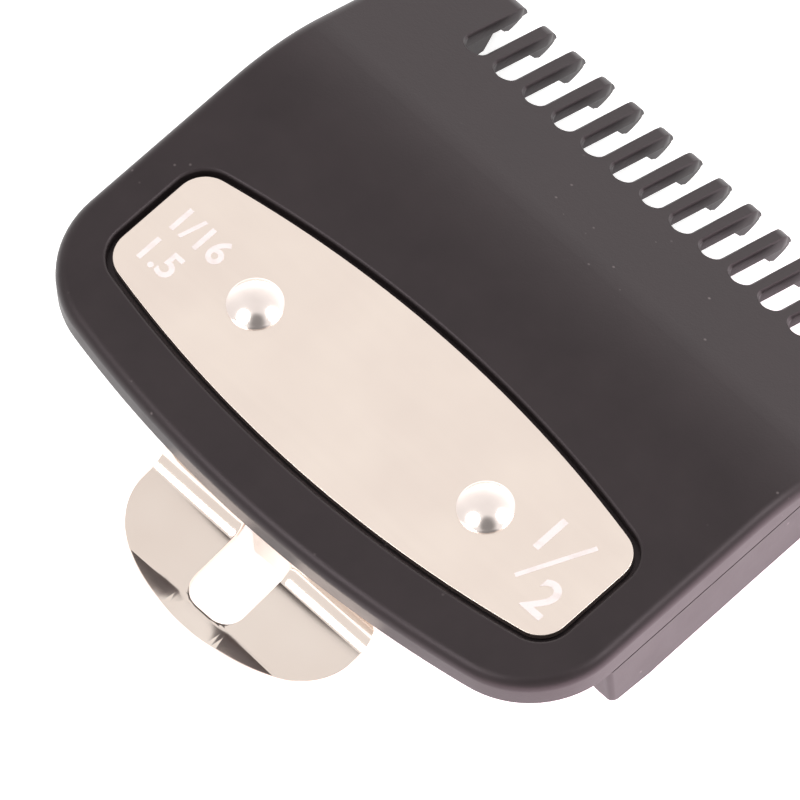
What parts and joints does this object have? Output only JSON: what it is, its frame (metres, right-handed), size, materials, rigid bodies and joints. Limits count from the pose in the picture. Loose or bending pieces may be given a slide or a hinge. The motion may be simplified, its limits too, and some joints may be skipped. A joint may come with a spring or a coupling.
{
  "type": "clipper guard comb",
  "caption": "Clip-on guard comb for a hair clipper: sloping toothed comb body with side walls, a riveted metal face plate and a sprung metal clip with thumb tab and catch tongue.",
  "frame": {"origin": "middle of the object's box, at its lowest level, which is the underside of the catch tongue", "axes": "+X across the teeth, +Y towards the tooth tips, +Z out of the marked outer face"},
  "size_m": [0.05, 0.0496, 0.0116],
  "materials": {
    "comb_nylon": "fine matte moulded charcoal nylon",
    "plate_steel": "satin warm stainless sheet",
    "rivet_steel": "polished, lightly dinted by the setting tool",
    "clip_steel": "bright nickel-plated spring steel"
  },
  "bodies": {
    "comb": {"comb_body": "comb_nylon", "face_plate": "plate_steel", "rivet_left": "rivet_steel", "rivet_right": "rivet_steel", "clip_base": "clip_steel"},
    "clip": {"clip_lever": "clip_steel"}
  },
  "joints": [
    {"name": "clip_flex", "type": "hinge", "parent": "comb", "child": "clip", "pos_m": [0, -0.01515, 0.00801], "axis": [-1, 0, 0], "range_deg": [-4, 15], "stiffness_Nm_per_rad": 0.4}
  ]
}
